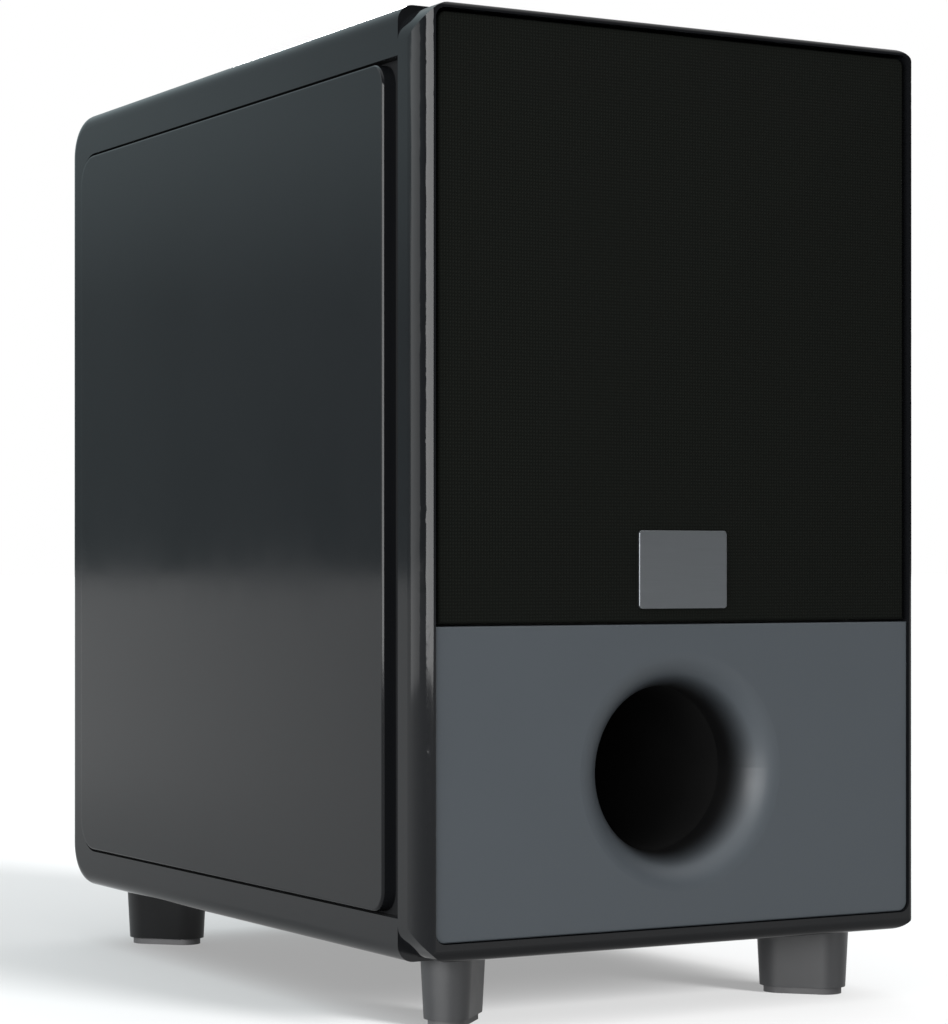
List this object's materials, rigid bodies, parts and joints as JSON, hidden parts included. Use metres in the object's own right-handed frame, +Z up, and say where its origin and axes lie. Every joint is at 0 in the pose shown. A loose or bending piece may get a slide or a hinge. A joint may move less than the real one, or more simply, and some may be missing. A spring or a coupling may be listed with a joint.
{
  "type": "subwoofer",
  "caption": "Gloss black powered subwoofer on four feet, with a cloth grille over the driver, a flared front port below it and a plate amplifier behind.",
  "frame": {"origin": "on the floor under the middle of the overall outline", "axes": "+Z up, -Y out of the front, +X towards the right of a viewer facing the front"},
  "size_m": [0.244, 0.384, 0.408],
  "materials": {
    "cabinet_wrap": "gloss black lacquer on MDF",
    "front_frame": "gloss black moulding",
    "baffle_board": "MDF, painted black in front",
    "rear_board": "MDF, satin black",
    "brace": "raw MDF",
    "wadding": "polyester wadding",
    "side_panel_left": "gloss black lacquer",
    "side_panel_right": "gloss black lacquer",
    "lower_fascia": "satin grey",
    "port_tube": "matte black",
    "grille_frame": "matte black",
    "grille_cloth": "black knitted cloth",
    "grille_sockets": "black rubber",
    "badge_plate": "brushed",
    "driver_basket": "black painted steel",
    "trim_ring": "black foam rubber",
    "driver_surround": "butyl rubber",
    "driver_cone": "pressed paper",
    "dust_cap": "pressed paper",
    "coil_former": "bare",
    "coil_winding": "enamelled copper",
    "driver_spider": "treated cotton",
    "magnet_top_plate": "zinc plated steel",
    "driver_magnet": "ferrite",
    "magnet_yoke": "zinc plated steel",
    "driver_terminals": "fibre board and tinned tabs",
    "driver_screws": "black zinc",
    "foot_pads": "black rubber",
    "foot_screws": "zinc plated steel",
    "amp_plate": "black powder coat",
    "amp_gasket": "foam tape",
    "amp_screws": "black zinc",
    "level_knob": "matte black",
    "crossover_knob": "matte black",
    "level_shaft": "turned",
    "crossover_shaft": "turned",
    "pot_bodies": "plated",
    "phase_switch": "black",
    "power_mode_switch": "black",
    "switch_bodies": "plated",
    "status_led": "diffused",
    "jack_bodies": "black",
    "jack_shells": "nickel plated",
    "mains_inlet": "black",
    "inlet_pins": "bright",
    "fuse_drawer": "black",
    "rocker_housing": "black",
    "rocker_switch": "black",
    "amp_chassis": "galvanised sheet",
    "amp_board": "green solder mask",
    "capacitors": "sleeved",
    "heat_sink": "extruded",
    "transformer": "taped winding",
    "transformer_clamp": "zinc plated",
    "speaker_lead": "PVC",
    "lead_clip": "nylon",
    "foot_front_left": "satin dark grey moulding",
    "foot_front_right": "satin dark grey moulding",
    "foot_rear_left": "satin dark grey moulding",
    "foot_rear_right": "satin dark grey moulding"
  },
  "bodies": {
    "cabinet": {"cabinet_wrap": "cabinet_wrap", "front_frame": "front_frame", "baffle_board": "baffle_board", "rear_board": "rear_board", "brace": "brace", "wadding": "wadding", "side_panel_left": "side_panel_left", "side_panel_right": "side_panel_right", "lower_fascia": "lower_fascia", "port_tube": "port_tube", "grille_sockets": "grille_sockets", "driver_basket": "driver_basket", "trim_ring": "trim_ring", "driver_surround": "driver_surround", "driver_spider": "driver_spider", "magnet_top_plate": "magnet_top_plate", "driver_magnet": "driver_magnet", "magnet_yoke": "magnet_yoke", "driver_terminals": "driver_terminals", "driver_screws": "driver_screws", "foot_pads": "foot_pads", "foot_screws": "foot_screws", "amp_plate": "amp_plate", "amp_gasket": "amp_gasket", "amp_screws": "amp_screws", "pot_bodies": "pot_bodies", "switch_bodies": "switch_bodies", "status_led": "status_led", "jack_bodies": "jack_bodies", "jack_shells": "jack_shells", "mains_inlet": "mains_inlet", "inlet_pins": "inlet_pins", "rocker_housing": "rocker_housing", "amp_chassis": "amp_chassis", "amp_board": "amp_board", "capacitors": "capacitors", "heat_sink": "heat_sink", "transformer": "transformer", "transformer_clamp": "transformer_clamp", "speaker_lead": "speaker_lead", "lead_clip": "lead_clip", "foot_front_left": "foot_front_left", "foot_front_right": "foot_front_right", "foot_rear_left": "foot_rear_left", "foot_rear_right": "foot_rear_right"},
    "grille": {"grille_frame": "grille_frame", "grille_cloth": "grille_cloth", "badge_plate": "badge_plate"},
    "cone": {"driver_cone": "driver_cone", "dust_cap": "dust_cap", "coil_former": "coil_former", "coil_winding": "coil_winding"},
    "level_dial": {"level_knob": "level_knob", "level_shaft": "level_shaft"},
    "crossover_dial": {"crossover_knob": "crossover_knob", "crossover_shaft": "crossover_shaft"},
    "phase_slider": {"phase_switch": "phase_switch"},
    "power_slider": {"power_mode_switch": "power_mode_switch"},
    "rocker": {"rocker_switch": "rocker_switch"},
    "fuse_carrier": {"fuse_drawer": "fuse_drawer"}
  },
  "joints": [
    {"name": "grille_pull", "type": "slide", "parent": "cabinet", "child": "grille", "axis": [0, -1, 0], "range_m": [0, 0.04]},
    {"name": "cone_travel", "type": "slide", "parent": "cabinet", "child": "cone", "axis": [0, -1, 0], "range_m": [-0.008, 0.008], "stiffness_N_per_m": 1500, "deforming": ["driver_surround", "driver_spider"]},
    {"name": "level_turn", "type": "hinge", "parent": "cabinet", "child": "level_dial", "pos_m": [-0.038, 0.186, 0.3], "axis": [0, -1, 0], "range_deg": [-150, 150]},
    {"name": "crossover_turn", "type": "hinge", "parent": "cabinet", "child": "crossover_dial", "pos_m": [0.038, 0.186, 0.3], "axis": [0, -1, 0], "range_deg": [-150, 150]},
    {"name": "phase_slide", "type": "slide", "parent": "cabinet", "child": "phase_slider", "axis": [1, 0, 0], "range_m": [0, 0.004]},
    {"name": "power_mode_slide", "type": "slide", "parent": "cabinet", "child": "power_slider", "axis": [1, 0, 0], "range_m": [-0.0025, 0.0025]},
    {"name": "rocker_tip", "type": "hinge", "parent": "cabinet", "child": "rocker", "pos_m": [0.036, 0.175, 0.132], "axis": [1, 0, 0], "range_deg": [0, 16]},
    {"name": "fuse_pull", "type": "slide", "parent": "cabinet", "child": "fuse_carrier", "axis": [0, 1, 0], "range_m": [0, 0.018]}
  ]
}
